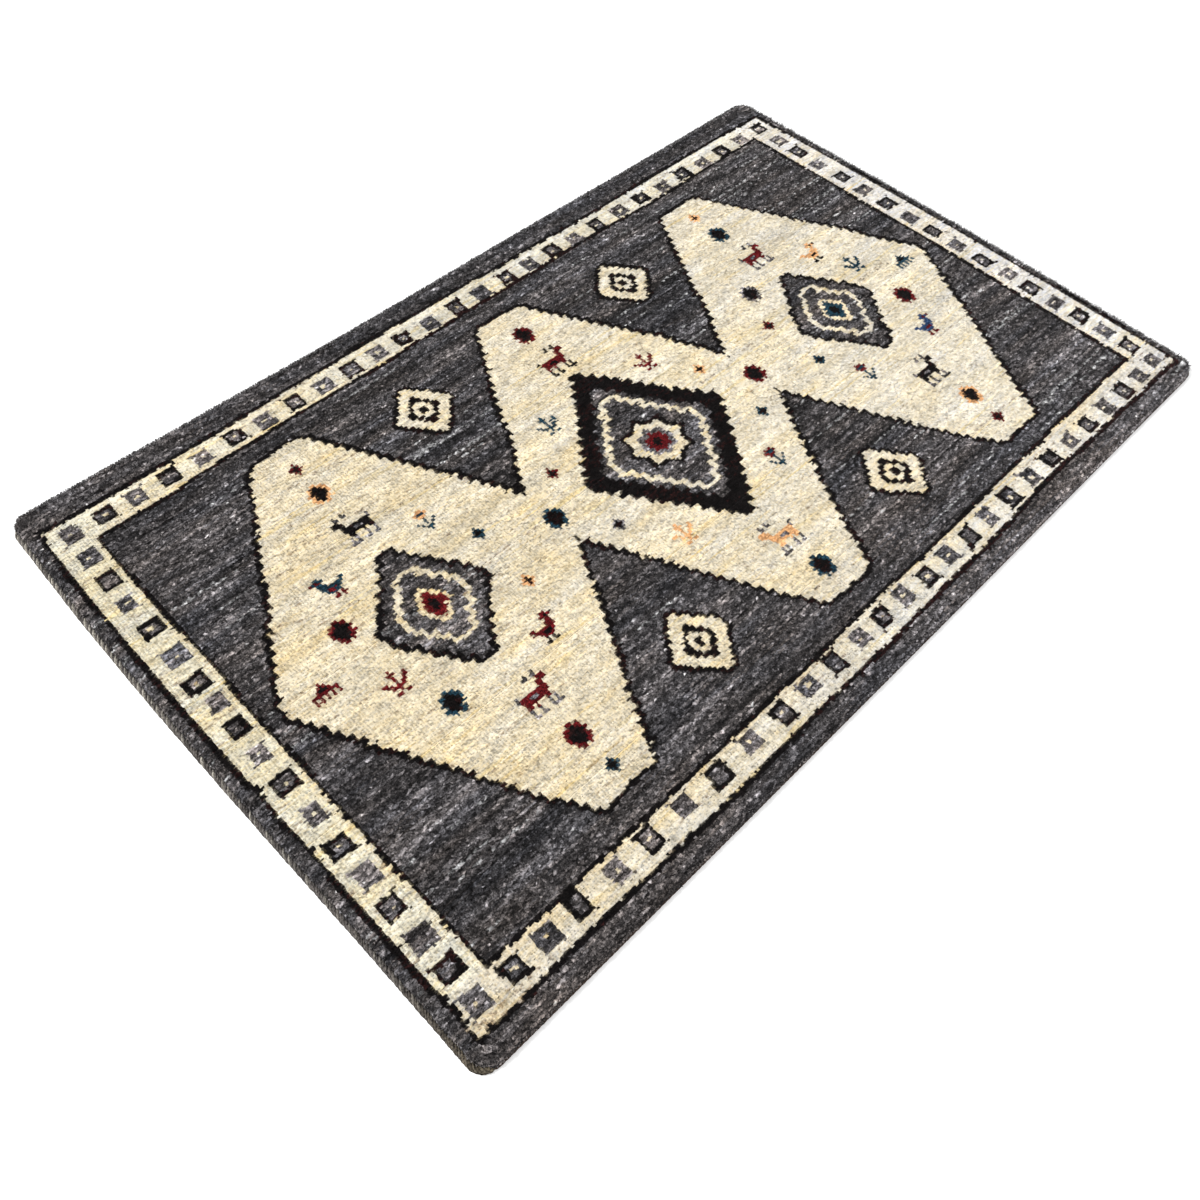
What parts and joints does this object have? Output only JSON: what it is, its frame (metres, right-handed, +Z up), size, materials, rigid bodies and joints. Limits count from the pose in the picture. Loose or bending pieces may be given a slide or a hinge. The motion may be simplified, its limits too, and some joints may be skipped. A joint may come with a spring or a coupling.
{
  "type": "gabbeh rug",
  "caption": "Flat rectangular hand-knotted wool pile rug with overcast selvedges along its short sides and turned-under ends along its long sides; lies on a floor.",
  "frame": {"origin": "on the floor under the middle of the rug's outer box", "axes": "+X along the long sides, +Z up out of the pile, the pile leans towards -Y"},
  "size_m": [1.2496, 0.7996, 0.014],
  "materials": {
    "pile_wool": "matte cut wool pile, heathered charcoal ground with cream, black and small coloured knotted motifs",
    "ground_wool": "matte woven ground with the backs of the knots",
    "selvedge_wool": "matte handspun wool yarn in slanting overcast wraps"
  },
  "bodies": {
    "root": {"rug_body": "pile_wool", "selvedge_left": "selvedge_wool", "selvedge_right": "selvedge_wool"}
  },
  "joints": []
}
